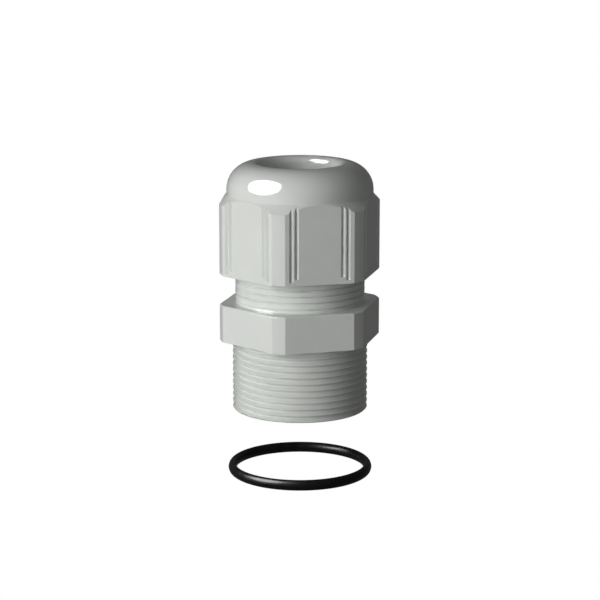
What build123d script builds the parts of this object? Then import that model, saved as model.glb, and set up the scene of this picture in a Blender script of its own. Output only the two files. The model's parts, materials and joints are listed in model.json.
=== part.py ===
from build123d import *
from math import cos, radians, tan
import os

os.makedirs("parts", exist_ok=True)

# Cable gland with an M32 x 1.5 entry thread, moulded in polyamide, in millimetres.
# The origin is on the axis at the collar's underside, which seats on the enclosure wall.
# +Z points out of the enclosure, towards the cap. The cap is shown unscrewed four turns
# from tight, and the entry seal hangs free below the thread.

# Entry thread and bore
thread_pitch = 1.5
entry_thread_r = 16.0
entry_thread_length = 17.1
entry_thread_depth = 0.92
crest_width = 0.19
root_width = 0.2
entry_runout = 0.445
entry_end_chamfer = 0.25
entry_wall = 2.58
bore_chamfer = 0.5

# Collar
seat_width = 1.35
corner_stand = 1.85
collar_height = 8.75
collar_rounding = 0.4

# Upper thread, which the cap runs on
upper_thread_step = 0.71
upper_thread_depth = 0.4
upper_groove_width = 0.55
upper_groove_count = 8

# Cap
cap_gap = 7.05
cap_hex_height = 16.55
cap_cone_height = 2.1
dome_step = 0.1
dome_band = 1.0
mouth_lip_r = 1.67
mouth_depth = 4.15
cone_angle = 30.0
cap_thread_depth = 0.5
cap_bore_lead = 0.5
cap_bottom_rounding = 0.2

# Grip grooves in each flat of the cap
groove_depth = 0.5
outer_groove_offset = 6.75
inner_groove_offset = 5.5
outer_groove_start = 0.9
inner_groove_start = 1.6

# Clamping cage, slip ring and sealing bush
finger_count = 12
seat_height = 11.5
seat_wall = 1.19
cage_wall = 1.2
cage_flange_height = 0.6
cage_flange_width = 1.0
hinge_gap = 0.2
finger_neck_r = 0.7
finger_root_width = 5.9
finger_tip_width = 2.9
finger_tip_stand = 0.4
slip_ring_wall = 0.8
slip_ring_low = 2.4
slip_ring_high = 3.0
bush_wall = 2.87
bush_flange_height = 1.8
bush_rise = 5.35
mouth_step = 0.05

# Entry seal ring
seal_stand = 0.2
seal_width = 2.03
seal_height = 2.53
seal_drop = 14.95

# Clearances
thread_clearance = 0.11
seat_clearance = 0.1
bush_clearance = 0.2
slip_clearance = 0.12
finger_clearance = 0.15

# Radii and heights that follow from the sizes above
apothem = entry_thread_r + seat_width
corner_r = apothem + corner_stand
entry_bore_r = entry_thread_r - entry_thread_depth - entry_wall
upper_thread_r = entry_thread_r - upper_thread_step
body_top = collar_height + upper_groove_count * thread_pitch
seat_r = upper_thread_r - upper_thread_depth - seat_wall
cage_outer_r = seat_r - seat_clearance
cage_inner_r = cage_outer_r - cage_wall
bush_outer_r = cage_inner_r - bush_clearance
bush_bore_r = bush_outer_r - bush_wall
mouth_r = bush_bore_r - mouth_step

cap_bottom = collar_height + cap_gap
cap_corner_top = cap_bottom + cap_hex_height
cap_cone_top = cap_corner_top + cap_cone_height
dome_r = apothem - dome_step
dome_rounding = dome_r - mouth_r - mouth_lip_r
dome_centre = cap_cone_top + dome_band
cap_top = dome_centre + dome_rounding
cap_bore_r = upper_thread_r + thread_clearance
cone_top = cap_top - mouth_depth
cone_slope = tan(radians(cone_angle))
cone_bottom = cone_top - (cap_bore_r - mouth_r) / cone_slope


def cone_radius(height, inset):
    """Radius of the cap's inner cone at a height, moved in by an inset at right angles to it."""
    return mouth_r + (cone_top - height) * cone_slope - inset / cos(radians(cone_angle))


# The fingertips meet the slip ring, so the cone gives their height.
finger_root_z = body_top + cage_flange_height + hinge_gap + finger_neck_r
finger_root_r = cage_inner_r + cage_wall / 2
tip_inner_r = bush_bore_r + finger_tip_stand
tip_outer_r = tip_inner_r + cage_wall
tip_inset = slip_clearance + slip_ring_wall + finger_clearance
finger_tip_z = cone_top - (tip_outer_r - cone_radius(cone_top, tip_inset)) / cone_slope
finger_lean = (cage_inner_r - tip_inner_r) / (finger_tip_z - finger_root_z)
bush_top = finger_root_z + bush_rise
bush_top_r = bush_outer_r - bush_rise * finger_lean


# Gland body: entry thread, collar and upper thread in one moulding.
entry_groove_count = int((entry_thread_length - entry_runout + crest_width) / thread_pitch)
entry_groove_width = thread_pitch - crest_width
entry_groove_places = [
    (entry_thread_r, -entry_runout - entry_groove_width / 2 - turn * thread_pitch)
    for turn in range(entry_groove_count)
]
upper_groove_places = [
    (upper_thread_r, collar_height + (turn + 0.5) * thread_pitch) for turn in range(upper_groove_count)
]

with BuildPart() as gland_body:
    with BuildSketch():
        RegularPolygon(radius=apothem, side_count=6, major_radius=False)
        Circle(corner_r, mode=Mode.INTERSECT)
    extrude(amount=collar_height)

    fillet(gland_body.edges().group_by(Axis.Z)[-1], radius=collar_rounding)

    # Entry thread, cut as level grooves below the collar.
    with BuildSketch(Plane.XZ):
        with BuildLine():
            Polyline(
                (0, 0),
                (entry_thread_r, 0),
                (entry_thread_r, entry_end_chamfer - entry_thread_length),
                (entry_thread_r - entry_end_chamfer, -entry_thread_length),
                (0, -entry_thread_length),
                close=True,
            )
        make_face()
        with Locations(entry_groove_places):
            Polygon(
                (0, -entry_groove_width / 2),
                (-entry_thread_depth, -root_width / 2),
                (-entry_thread_depth, root_width / 2),
                (0, entry_groove_width / 2),
                align=None,
                mode=Mode.SUBTRACT,
            )
    revolve(axis=Axis.Z)

    # Upper thread, a plain core with one V groove for each turn.
    with BuildSketch(Plane.XZ):
        with Locations((0, collar_height)):
            Rectangle(upper_thread_r, body_top - collar_height, align=Align.MIN)
        with Locations(upper_groove_places):
            Polygon(
                (0, -upper_groove_width / 2),
                (-upper_thread_depth, 0),
                (0, upper_groove_width / 2),
                align=None,
                mode=Mode.SUBTRACT,
            )
    revolve(axis=Axis.Z)

    # The bore, and above it the wider seat for the bush and the cage.
    with BuildSketch(Plane.XZ):
        with BuildLine():
            Polyline(
                (0, -entry_thread_length),
                (entry_bore_r + bore_chamfer, -entry_thread_length),
                (entry_bore_r, bore_chamfer - entry_thread_length),
                (entry_bore_r, seat_height),
                (seat_r, seat_height),
                (seat_r, body_top),
                (0, body_top),
                close=True,
            )
        make_face()
    revolve(axis=Axis.Z, mode=Mode.SUBTRACT)

gland_body.part.label = "gland_body"
export_step(gland_body.part, "parts/gland_body.step")


# Cap nut: hexagon, cone at its corners, dome and rolled-in mouth.
groove_rows = (
    (outer_groove_offset, outer_groove_start),
    (inner_groove_offset, inner_groove_start),
)
cap_groove_count = int((cone_bottom - cap_bottom - 2 * cap_bore_lead) / thread_pitch)
cap_groove_places = [
    (cap_bore_r, cap_bottom + cap_bore_lead + (turn + 0.75) * thread_pitch)
    for turn in range(cap_groove_count)
]

with BuildPart() as cap_nut:
    with BuildSketch(Plane.XY.offset(cap_bottom)):
        RegularPolygon(radius=apothem, side_count=6, major_radius=False)
        Circle(corner_r, mode=Mode.INTERSECT)
    extrude(amount=cap_top - cap_bottom)

    with BuildSketch(Plane.XZ):
        with BuildLine():
            Polyline(
                (mouth_r, cap_top - mouth_lip_r),
                (mouth_r, cap_bottom),
                (corner_r - cap_bottom_rounding, cap_bottom),
                (corner_r, cap_bottom + cap_bottom_rounding),
                (corner_r, cap_corner_top),
                (dome_r, cap_cone_top),
                (dome_r, dome_centre),
            )
            TangentArc((dome_r, dome_centre), (dome_r - dome_rounding, cap_top), tangent=(0, 1))
            TangentArc((dome_r - dome_rounding, cap_top), (mouth_r, cap_top - mouth_lip_r), tangent=(-1, 0))
        make_face()
    revolve(axis=Axis.Z, mode=Mode.INTERSECT)

    # Thread bore and the cone that presses the fingers in.
    with BuildSketch(Plane.XZ):
        with BuildLine():
            Polyline(
                (0, cap_bottom),
                (cap_bore_r + cap_bore_lead, cap_bottom),
                (cap_bore_r, cap_bottom + cap_bore_lead),
                (cap_bore_r, cone_bottom),
                (mouth_r, cone_top),
                (0, cone_top),
                close=True,
            )
        make_face()
        with Locations(cap_groove_places):
            Polygon(
                (0, -thread_pitch / 2 + crest_width),
                (cap_thread_depth, 0),
                (0, thread_pitch / 2 - crest_width),
                align=None,
            )
    revolve(axis=Axis.Z, mode=Mode.SUBTRACT)

    # Two V grooves side by side near each end of every flat.
    for groove_offset, groove_start in groove_rows:
        with BuildSketch(Plane.XY.offset(cap_bottom + groove_start)):
            with PolarLocations(apothem, 6, start_angle=30):
                with Locations((0, groove_offset), (0, -groove_offset)):
                    RegularPolygon(radius=groove_depth, side_count=4)
        extrude(amount=cap_cone_top - cap_bottom - groove_start, mode=Mode.SUBTRACT)

cap_nut.part.label = "cap_nut"
export_step(cap_nut.part, "parts/cap_nut.step")


# Slip ring: thin cone between the turning cap and the fingers, which don't turn.
slip_ring_bottom = finger_tip_z - slip_ring_low
slip_ring_top = finger_tip_z + slip_ring_high

with BuildPart() as slip_ring:
    with BuildSketch(Plane.XZ):
        with BuildLine():
            Polyline(
                (cone_radius(slip_ring_bottom, slip_clearance), slip_ring_bottom),
                (cone_radius(slip_ring_top, slip_clearance), slip_ring_top),
                (cone_radius(slip_ring_top, slip_clearance + slip_ring_wall), slip_ring_top),
                (cone_radius(slip_ring_bottom, slip_clearance + slip_ring_wall), slip_ring_bottom),
                close=True,
            )
        make_face()
    revolve(axis=Axis.Z)

slip_ring.part.label = "slip_ring"
export_step(slip_ring.part, "parts/slip_ring.step")


# Cage ring: sits in the body's mouth with its flange on the rim.
with BuildPart() as cage_ring:
    with BuildSketch(Plane.XZ):
        with BuildLine():
            Polyline(
                (cage_inner_r, seat_height + bush_flange_height),
                (cage_outer_r, seat_height + bush_flange_height),
                (cage_outer_r, body_top),
                (cage_outer_r + cage_flange_width, body_top),
                (cage_outer_r + cage_flange_width, body_top + cage_flange_height),
                (cage_inner_r, body_top + cage_flange_height),
                close=True,
            )
        make_face()
    revolve(axis=Axis.Z)

cage_ring.part.label = "cage_ring"
export_step(cage_ring.part, "parts/cage_ring.step")


# Clamping fingers, each on a round neck, where it bends.
finger_step = 360 / finger_count

for number in range(finger_count):
    turn = number * finger_step
    with BuildPart() as finger:
        with BuildSketch(Plane.XZ.rotated((0, 0, turn - finger_step / 2))):
            with BuildLine():
                Polyline(
                    (cage_outer_r, finger_root_z),
                    (tip_outer_r, finger_tip_z),
                    (tip_inner_r, finger_tip_z),
                    (cage_inner_r, finger_root_z),
                    close=True,
                )
            make_face()
        revolve(axis=Axis.Z, revolution_arc=finger_step)

        # The sides taper towards the tip, so that the closed fingers don't meet.
        with BuildSketch(Plane.YZ.rotated((0, 0, turn))):
            Polygon(
                (-finger_root_width / 2, finger_root_z),
                (finger_root_width / 2, finger_root_z),
                (finger_tip_width / 2, finger_tip_z),
                (-finger_tip_width / 2, finger_tip_z),
                align=None,
            )
        extrude(amount=corner_r, mode=Mode.INTERSECT)

        # A straight round neck at the root, which the finger bends about.
        with BuildSketch(Plane.XZ.rotated((0, 0, turn))):
            with Locations((finger_root_r, finger_root_z)):
                Circle(finger_neck_r)
        extrude(amount=finger_root_width / 2, both=True)

    finger_name = f"finger_{number + 1:02d}"
    finger.part.label = finger_name
    export_step(finger.part, f"parts/{finger_name}.step")


# Sealing bush: flange on the body's seat, upper end tapered to the fingers.
with BuildPart() as sealing_bush:
    with BuildSketch(Plane.XZ):
        with BuildLine():
            Polyline(
                (bush_bore_r, seat_height),
                (cage_outer_r, seat_height),
                (cage_outer_r, seat_height + bush_flange_height),
                (bush_outer_r, seat_height + bush_flange_height),
                (bush_outer_r, finger_root_z),
                (bush_top_r, bush_top),
                (bush_bore_r, bush_top),
                close=True,
            )
        make_face()
    revolve(axis=Axis.Z)

sealing_bush.part.label = "sealing_bush"
export_step(sealing_bush.part, "parts/sealing_bush.step")


# Entry seal ring, free below the end of the thread.
with BuildPart() as seal_ring:
    with BuildSketch(Plane.XZ):
        with Locations((entry_thread_r + seal_stand, -entry_thread_length - seal_drop)):
            Ellipse(seal_width / 2, seal_height / 2)
    revolve(axis=Axis.Z)

seal_ring.part.label = "seal_ring"
export_step(seal_ring.part, "parts/seal_ring.step")
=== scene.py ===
import bpy
import bmesh
import json
import math
from mathutils import Matrix, Vector


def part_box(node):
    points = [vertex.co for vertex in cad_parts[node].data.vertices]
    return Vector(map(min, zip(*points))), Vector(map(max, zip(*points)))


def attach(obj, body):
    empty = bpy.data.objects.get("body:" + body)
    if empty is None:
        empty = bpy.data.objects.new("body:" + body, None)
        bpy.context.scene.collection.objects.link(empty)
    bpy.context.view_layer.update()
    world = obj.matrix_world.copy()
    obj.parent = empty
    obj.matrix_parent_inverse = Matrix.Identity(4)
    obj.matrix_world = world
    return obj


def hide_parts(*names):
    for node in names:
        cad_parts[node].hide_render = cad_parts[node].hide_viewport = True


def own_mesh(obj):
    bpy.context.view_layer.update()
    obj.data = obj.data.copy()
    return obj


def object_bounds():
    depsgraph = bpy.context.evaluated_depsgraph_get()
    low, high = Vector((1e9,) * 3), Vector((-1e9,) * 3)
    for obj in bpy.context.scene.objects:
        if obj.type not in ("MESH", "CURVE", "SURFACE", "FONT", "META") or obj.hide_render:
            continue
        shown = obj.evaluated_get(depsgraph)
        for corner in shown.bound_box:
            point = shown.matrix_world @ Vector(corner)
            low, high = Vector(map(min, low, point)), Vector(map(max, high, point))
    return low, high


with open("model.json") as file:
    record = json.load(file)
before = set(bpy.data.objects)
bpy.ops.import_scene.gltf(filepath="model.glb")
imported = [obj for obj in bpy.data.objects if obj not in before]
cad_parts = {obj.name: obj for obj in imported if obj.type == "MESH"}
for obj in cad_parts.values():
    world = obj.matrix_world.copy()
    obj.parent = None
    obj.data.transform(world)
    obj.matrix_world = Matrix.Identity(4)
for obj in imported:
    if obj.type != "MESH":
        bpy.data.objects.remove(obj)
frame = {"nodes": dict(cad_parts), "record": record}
cadLow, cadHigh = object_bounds()
scene = bpy.context.scene
mm = 0.001
weldDistance = 0.0005 * mm
print("frame loaded")

# The body's foot sets the studio's height, and the other two boxes size the new pieces.
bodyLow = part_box("gland_body")[0]
bushLow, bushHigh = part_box("sealing_bush")
sealLow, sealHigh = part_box("seal_ring")


def linearColour(hexCode):
    # sRGB hex to the linear colour that the shaders take
    channels = [int(hexCode[start:start + 2], 16) / 255 for start in (1, 3, 5)]
    linear = [c / 12.92 if c <= 0.04045 else ((c + 0.055) / 1.055) ** 2.4 for c in channels]
    return (*linear, 1.0)


def addNode(tree, kind, settings, links=()):
    node = tree.nodes.new(kind)
    for name, value in settings.items():
        if name in node.inputs:
            node.inputs[name].default_value = value
        else:
            setattr(node, name, value)
    for name, socket in links:
        tree.links.new(socket, node.inputs[name])
    return node


# Shared by every moulded finish. Colour and gloss change between these two levels of the noise.
moulding = {"cloudDetail": 3.0, "grainDetail": 2.0, "noiseLow": 0.35, "noiseHigh": 0.65}


def mouldedPart(finish):
    # Anything moulded: broad flow clouds in colour and gloss, and the fine grain of the mould's steel.
    material = bpy.data.materials.new(finish["name"])
    material.use_nodes = True
    tree = material.node_tree
    tree.nodes.clear()
    place = addNode(tree, "ShaderNodeTexCoord", {}).outputs["Object"]
    clouds = addNode(tree, "ShaderNodeTexNoise",
                     {"Scale": 1 / (finish["cloudSize"] * mm), "Detail": moulding["cloudDetail"]},
                     [("Vector", place)]).outputs["Fac"]
    grain = addNode(tree, "ShaderNodeTexNoise",
                    {"Scale": 1 / (finish["grainSize"] * mm), "Detail": moulding["grainDetail"]},
                    [("Vector", place)]).outputs["Fac"]
    colour = addNode(tree, "ShaderNodeValToRGB", {}, [("Fac", clouds)])
    dark, light = colour.color_ramp.elements
    dark.position, dark.color = moulding["noiseLow"], linearColour(finish["shade"])
    light.position, light.color = moulding["noiseHigh"], linearColour(finish["colour"])
    roughness = addNode(tree, "ShaderNodeMapRange",
                        {"From Min": moulding["noiseLow"], "From Max": moulding["noiseHigh"],
                         "To Min": finish["roughness"][0], "To Max": finish["roughness"][1]},
                        [("Value", clouds)])
    bump = addNode(tree, "ShaderNodeBump",
                   {"Strength": finish["grainStrength"], "Distance": finish["grainDepth"] * mm},
                   [("Height", grain)])
    skin = addNode(tree, "ShaderNodeBsdfPrincipled",
                   {"IOR": finish["ior"], "Specular IOR Level": finish["specular"]},
                   [("Base Color", colour.outputs["Color"]), ("Roughness", roughness.outputs["Result"]),
                    ("Normal", bump.outputs["Normal"])])
    addNode(tree, "ShaderNodeOutputMaterial", {}, [("Surface", skin.outputs["BSDF"])])
    return material


# Cloud and grain sizes are in mm, in all four finishes.

# Light grey polyamide from a polished mould: opaque, cool grey, with small sharp highlights.
greyPolyamide = mouldedPart({
    "name": "mouldedGreyPolyamide", "colour": "#CFD2CE", "shade": "#CCCFCB",
    "cloudSize": 7.0, "grainSize": 0.5, "grainDepth": 0.003, "grainStrength": 0.07,
    "roughness": (0.05, 0.07), "ior": 1.53, "specular": 0.5})

# The cage is the same polyamide from an unpolished mould, a shade darker and duller.
cagePolyamide = mouldedPart({
    "name": "mouldedCagePolyamide", "colour": "#B9BDB9", "shade": "#B2B6B2",
    "cloudSize": 5.0, "grainSize": 0.3, "grainDepth": 0.006, "grainStrength": 0.35,
    "roughness": (0.28, 0.36), "ior": 1.53, "specular": 0.5})

# Natural acetal: milky white and waxy, so it slides.
slipAcetal = mouldedPart({
    "name": "naturalAcetal", "colour": "#E6E6DF", "shade": "#DEDED6",
    "cloudSize": 6.0, "grainSize": 0.3, "grainDepth": 0.004, "grainStrength": 0.25,
    "roughness": (0.22, 0.30), "ior": 1.48, "specular": 0.5})

# Nitrile rubber: nearly black, with a dull bloom in patches and a broad soft sheen.
nitrileRubber = mouldedPart({
    "name": "mouldedNitrileRubber", "colour": "#101011", "shade": "#0B0B0C",
    "cloudSize": 3.0, "grainSize": 0.25, "grainDepth": 0.008, "grainStrength": 0.4,
    "roughness": (0.24, 0.34), "ior": 1.52, "specular": 0.3})

finishBySlot = {
    "grey_polyamide": greyPolyamide,
    "cage_polyamide": cagePolyamide,
    "slip_acetal": slipAcetal,
    "black_rubber": nitrileRubber,
}
for subpart in frame["record"]["subparts"]:
    cadMesh = frame["nodes"][subpart["node"]].data
    cadMesh.materials.clear()
    cadMesh.materials.append(finishBySlot[subpart["material_slot"]])
print("finishes on the moulded pieces")


def finishMesh(name, mesh, material, body):
    bmesh.ops.remove_doubles(mesh, verts=mesh.verts, dist=weldDistance)
    bmesh.ops.recalc_face_normals(mesh, faces=mesh.faces)
    data = bpy.data.meshes.new(name)
    mesh.to_mesh(data)
    mesh.free()
    data.shade_smooth()
    data.materials.append(material)
    piece = bpy.data.objects.new(name, data)
    scene.collection.objects.link(piece)
    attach(piece, body)
    return piece


def spinRound(mesh, steps):
    # once round the Z axis
    bmesh.ops.spin(mesh, geom=mesh.verts[:] + mesh.edges[:], cent=(0, 0, 0), axis=(0, 0, 1), angle=math.tau,
                   steps=steps, use_merge=True)


# Widths and stand in mm.
sealRing = {"sectionWidth": 2.03, "flashWidth": 0.16, "flashStand": 0.03, "sectionPoints": 48, "steps": 288}


def makeSealRing(ring):
    outerRadius = (sealHigh.x - sealLow.x) / 2
    halfWidth = ring["sectionWidth"] * mm / 2
    halfHeight = (sealHigh.z - sealLow.z) / 2
    mesh = bmesh.new()
    bmesh.ops.create_circle(mesh, cap_ends=False, radius=1.0, segments=ring["sectionPoints"])
    bmesh.ops.scale(mesh, vec=(halfWidth - ring["flashStand"] * mm, halfHeight, 1), verts=mesh.verts)
    # The mould's parting line stands proud round the inside and the outside.
    for vertex in mesh.verts:
        if abs(vertex.co.y) < ring["flashWidth"] * mm / 2:
            vertex.co.x += math.copysign(ring["flashStand"] * mm, vertex.co.x)
    upright = Matrix.Rotation(math.pi / 2, 3, "X")
    bmesh.ops.rotate(mesh, cent=(0, 0, 0), matrix=upright, verts=mesh.verts)
    middle = (outerRadius - halfWidth, 0, (sealHigh.z + sealLow.z) / 2)
    bmesh.ops.translate(mesh, vec=middle, verts=mesh.verts)
    spinRound(mesh, ring["steps"])
    piece = finishMesh("entrySealRing", mesh, nitrileRubber, "seal_ring")
    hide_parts("seal_ring")


makeSealRing(sealRing)
print("seal ring")

# Sizes in mm. taperHeight is how far below its top the sleeve starts to narrow, and keepWhenTight how much
# of its height is left when the cap is tight.
sealingBush = {
    "wall": 2.87, "clear": 0.03, "flangeHeight": 1.8, "seatInset": 1.4, "taperHeight": 5.35, "topInset": 1.69,
    "lipCount": 6, "lipDepth": 0.3, "lipGap": 1.5, "lipStart": 2.2, "grooveShare": 2 / 3,
    "edgeRounding": 0.25, "roundingSegments": 3, "steps": 144, "keepWhenTight": 0.64,
}


def makeSealingBush(bush):
    low, high = bushLow.z / mm, bushHigh.z / mm
    flangeRadius = (bushHigh.x - bushLow.x) / 2 / mm - bush["clear"]
    sleeveRadius = flangeRadius - bush["seatInset"]
    boreRadius = sleeveRadius + bush["clear"] - bush["wall"]
    outline = [
        (boreRadius, low),
        (flangeRadius, low),
        (flangeRadius, low + bush["flangeHeight"]),
        (sleeveRadius, low + bush["flangeHeight"]),
        (sleeveRadius, high - bush["taperHeight"]),
        (sleeveRadius - bush["topInset"], high),
        (boreRadius, high),
    ]
    # Sealing lips down the bore, with shallow V grooves between them.
    halfGroove = bush["lipGap"] * bush["grooveShare"] / 2
    for lip in range(bush["lipCount"]):
        middle = high - bush["lipStart"] - lip * bush["lipGap"]
        outline += [
            (boreRadius, middle + halfGroove),
            (boreRadius + bush["lipDepth"], middle),
            (boreRadius, middle - halfGroove),
        ]
    mesh = bmesh.new()
    corners = [mesh.verts.new((r * mm, 0, z * mm)) for r, z in outline]
    mesh.faces.new(corners)
    bmesh.ops.bevel(mesh, geom=corners, affect="VERTICES", offset=bush["edgeRounding"] * mm,
                    segments=bush["roundingSegments"], profile=0.5, material=-1, clamp_overlap=True)
    bmesh.ops.delete(mesh, geom=mesh.faces[:], context="FACES_ONLY")
    spinRound(mesh, bush["steps"])
    piece = finishMesh("cableSealingBush", mesh, nitrileRubber, "gland_body")
    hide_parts("sealing_bush")
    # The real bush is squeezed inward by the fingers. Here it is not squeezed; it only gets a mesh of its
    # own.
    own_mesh(piece)


makeSealingBush(sealingBush)
print("sealing bush")

# Angles in degrees, sizes in mm, powers in watts.
studio = {
    "aimAboveBody": 25.85, "cameraAzimuth": -15.2, "cameraElevation": 12.2, "cameraDistance": 505.0,
    "lens": 127.86, "sensorWidth": 36.0, "clipStart": 10.0, "clipEnd": 20000.0,
    "keyAzimuth": -66.0, "keyElevation": 12.0, "keyDistance": 500.0, "keyDiameter": 400.0,
    "keyPower": 2.8,
    "glossAzimuth": -81.0, "glossElevation": 34.0, "glossDistance": 500.0, "glossDiameter": 500.0,
    "glossPower": 11.0,
    "fillAzimuth": 12.0, "fillElevation": 8.0, "fillDistance": 600.0, "fillDiameter": 200.0,
    "fillPower": 0.3,
    "backAzimuth": 160.0, "backElevation": 6.0, "backDistance": 500.0, "backDiameter": 400.0,
    "backPower": 1.8,
    "ambient": 0.075, "floorDrop": 150.0, "floorSize": 6000.0,
}


def aimedObject(name, data, azimuth, elevation, distance):
    # Azimuth 0 looks along +Y; everything points at the same place on the axis.
    turn, rise = math.radians(azimuth), math.radians(elevation)
    back = Vector((math.sin(turn) * math.cos(rise), -math.cos(turn) * math.cos(rise), math.sin(rise)))
    aim = Vector((0, 0, bodyLow.z + studio["aimAboveBody"] * mm))
    thing = bpy.data.objects.new(name, data)
    scene.collection.objects.link(thing)
    thing.location = aim + back * distance * mm
    thing.rotation_euler = (-back).to_track_quat("-Z", "Y").to_euler()
    return thing


def discLight(name):
    light = bpy.data.lights.new(name + "Light", "AREA")
    light.shape = "DISK"
    light.size = studio[name + "Diameter"] * mm
    light.energy = studio[name + "Power"]
    return aimedObject(name + "Light", light, studio[name + "Azimuth"], studio[name + "Elevation"],
                       studio[name + "Distance"])


def buildStudio():
    cameraData = bpy.data.cameras.new("camera")
    cameraData.sensor_width = studio["sensorWidth"]
    cameraData.lens = studio["lens"]
    cameraData.clip_start = studio["clipStart"] * mm
    cameraData.clip_end = studio["clipEnd"] * mm
    scene.camera = aimedObject("camera", cameraData, studio["cameraAzimuth"], studio["cameraElevation"],
                               studio["cameraDistance"])

    # Three soft lights give the shading, one of them from behind, and a fourth only the highlights.
    discLight("key").visible_glossy = False
    discLight("fill").visible_glossy = False
    discLight("back").visible_glossy = False
    discLight("gloss").visible_diffuse = False

    # The room looks white, but lights the gland only faintly.
    scene.world = bpy.data.worlds.new("studioAir")
    scene.world.use_nodes = True
    air = scene.world.node_tree
    air.nodes.clear()
    ray = addNode(air, "ShaderNodeLightPath", {})
    level = addNode(air, "ShaderNodeMapRange", {"To Min": studio["ambient"], "To Max": 1.0},
                    [("Value", ray.outputs["Is Camera Ray"])])
    backdrop = addNode(air, "ShaderNodeBackground", {"Color": (1, 1, 1, 1)},
                       [("Strength", level.outputs["Result"])])
    addNode(air, "ShaderNodeOutputWorld", {}, [("Surface", backdrop.outputs["Background"])])

    # White paper floor, well below the hanging seal ring.
    paper = bpy.data.materials.new("whitePaper")
    paper.use_nodes = True
    paperTree = paper.node_tree
    paperTree.nodes.clear()
    # Seen from below, the paper is clear, so that it doesn't hide the gland.
    side = addNode(paperTree, "ShaderNodeNewGeometry", {})
    glow = addNode(paperTree, "ShaderNodeEmission", {"Color": (1, 1, 1, 1), "Strength": 1.0})
    clear = addNode(paperTree, "ShaderNodeBsdfTransparent", {})
    faces = addNode(paperTree, "ShaderNodeMixShader", {}, [("Fac", side.outputs["Backfacing"])])
    paperTree.links.new(glow.outputs["Emission"], faces.inputs[1])
    paperTree.links.new(clear.outputs["BSDF"], faces.inputs[2])
    addNode(paperTree, "ShaderNodeOutputMaterial", {}, [("Surface", faces.outputs["Shader"])])
    mesh = bmesh.new()
    bmesh.ops.create_grid(mesh, x_segments=1, y_segments=1, size=studio["floorSize"] * mm / 2)
    bmesh.ops.translate(mesh, vec=(0, 0, cadLow.z - studio["floorDrop"] * mm), verts=mesh.verts)
    data = bpy.data.meshes.new("studioFloor")
    mesh.to_mesh(data)
    mesh.free()
    data.materials.append(paper)
    floor = bpy.data.objects.new("studioFloor", data)
    scene.collection.objects.link(floor)
    floor.visible_diffuse = False
    floor.visible_glossy = False
    scene.view_settings.view_transform = "Standard"


buildStudio()
print("studio")
